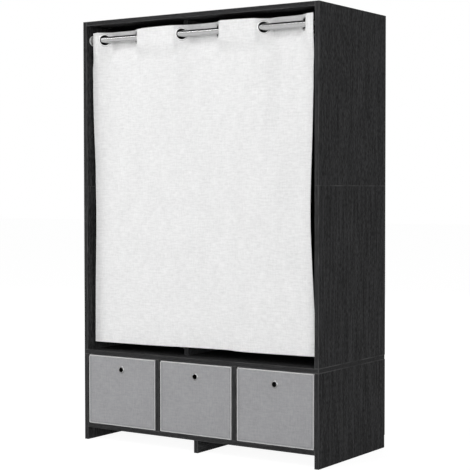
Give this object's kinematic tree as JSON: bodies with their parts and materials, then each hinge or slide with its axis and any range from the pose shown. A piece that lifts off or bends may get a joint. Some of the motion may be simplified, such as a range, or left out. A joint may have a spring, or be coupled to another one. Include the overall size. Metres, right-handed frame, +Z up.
{
  "type": "curtain wardrobe",
  "caption": "Dark wood-grain wardrobe with shelves and a clothes rail behind a white eyelet curtain, on a base with grey fabric bins.",
  "frame": {"origin": "on the floor, under the centre of the footprint", "axes": "+Z up, the curtained front faces -Y, +X to the right of someone facing the front"},
  "size_m": [1.016, 0.475, 1.56],
  "materials": {
    "black_ash": "dark wood-grain foil on board",
    "black_hardboard": "black hardboard",
    "satin_tube": "satin steel tube",
    "socket_metal": "satin zinc",
    "zinc_steel": "zinc-plated steel",
    "eyelet_metal": "satin silver",
    "white_cloth": "plain linen-like weave",
    "grey_cloth": "felted grey cloth",
    "bin_board": "fibreboard in grey cloth",
    "beech": "fluted beech"
  },
  "bodies": {
    "case": {"base_side_left": "black_ash", "base_side_right": "black_ash", "base_bottom": "black_ash", "base_divider_left": "black_ash", "base_divider_right": "black_ash", "base_top": "black_ash", "base_foot": "black_ash", "base_back": "black_hardboard", "side_left_lower": "black_ash", "side_left_upper": "black_ash", "side_right_lower": "black_ash", "side_right_upper": "black_ash", "case_top": "black_ash", "divider_lower": "black_ash", "divider_upper": "black_ash", "shelf_lower": "black_ash", "shelf_middle": "black_ash", "shelf_upper": "black_ash", "back_panel_left": "black_hardboard", "back_panel_right": "black_hardboard", "curtain_rod": "satin_tube", "clothes_rail": "satin_tube", "rod_socket_left": "socket_metal", "rod_socket_right": "socket_metal", "rail_socket_left": "socket_metal", "rail_socket_right": "socket_metal", "dowels": "beech", "cam_bolts": "zinc_steel", "cam_locks": "zinc_steel", "shelf_pins": "zinc_steel", "back_nails": "zinc_steel", "socket_screws": "zinc_steel"},
    "curtain_lead": {"curtain_fold_1": "white_cloth", "eyelet_1": "eyelet_metal", "eyelet_2": "eyelet_metal"},
    "curtain_leaf_2": {"curtain_fold_2": "white_cloth"},
    "curtain_leaf_3": {"curtain_fold_3": "white_cloth", "eyelet_3": "eyelet_metal"},
    "curtain_leaf_4": {"curtain_fold_4": "white_cloth", "eyelet_4": "eyelet_metal"},
    "curtain_leaf_5": {"curtain_fold_5": "white_cloth", "eyelet_5": "eyelet_metal"},
    "curtain_leaf_6": {"curtain_fold_6": "white_cloth", "eyelet_6": "eyelet_metal"},
    "bin_left": {"bin_left_cover": "grey_cloth", "bin_left_insert": "bin_board", "bin_left_grommet": "eyelet_metal"},
    "bin_middle": {"bin_middle_cover": "grey_cloth", "bin_middle_insert": "bin_board", "bin_middle_grommet": "eyelet_metal"},
    "bin_right": {"bin_right_cover": "grey_cloth", "bin_right_insert": "bin_board", "bin_right_grommet": "eyelet_metal"}
  },
  "joints": [
    {"name": "curtain_draw", "type": "hinge", "parent": "case", "child": "curtain_leaf_6", "pos_m": [0.431, -0.2025, 1.4918], "axis": [0, 0, -1], "range_deg": [0, 70]},
    {"name": "rear_crease_5_6", "type": "hinge", "parent": "curtain_leaf_6", "child": "curtain_leaf_5", "pos_m": [0.34948, -0.19625, 1.4918], "axis": [0, 0, -1], "range_deg": [-140, 0]},
    {"name": "front_crease_4_5", "type": "hinge", "parent": "curtain_leaf_5", "child": "curtain_leaf_4", "pos_m": [0.17297, -0.20875, 1.4918], "axis": [0, 0, -1], "range_deg": [0, 140]},
    {"name": "rear_crease_3_4", "type": "hinge", "parent": "curtain_leaf_4", "child": "curtain_leaf_3", "pos_m": [-0.001, -0.19625, 1.4918], "axis": [0, 0, -1], "range_deg": [-140, 0]},
    {"name": "front_crease_2_3", "type": "hinge", "parent": "curtain_leaf_3", "child": "curtain_leaf_2", "pos_m": [-0.18201, -0.20875, 1.4918], "axis": [0, 0, -1], "range_deg": [0, 140]},
    {"name": "lead_turn", "type": "hinge", "parent": "curtain_leaf_2", "child": "curtain_lead", "pos_m": [-0.28405, -0.2025, 1.4918], "axis": [0, 0, -1], "range_deg": [-70, 0]},
    {"name": "bin_left_slide", "type": "slide", "parent": "case", "child": "bin_left", "axis": [0, -1, 0], "range_m": [0, 0.46]},
    {"name": "bin_middle_slide", "type": "slide", "parent": "case", "child": "bin_middle", "axis": [0, -1, 0], "range_m": [0, 0.46]},
    {"name": "bin_right_slide", "type": "slide", "parent": "case", "child": "bin_right", "axis": [0, -1, 0], "range_m": [0, 0.46]}
  ],
  "couplings": [
    {"joint": "rear_crease_5_6", "follows": "curtain_draw", "ratio": -2},
    {"joint": "front_crease_4_5", "follows": "curtain_draw", "ratio": 2},
    {"joint": "rear_crease_3_4", "follows": "curtain_draw", "ratio": -2},
    {"joint": "front_crease_2_3", "follows": "curtain_draw", "ratio": 2},
    {"joint": "lead_turn", "follows": "curtain_draw", "ratio": -1}
  ]
}
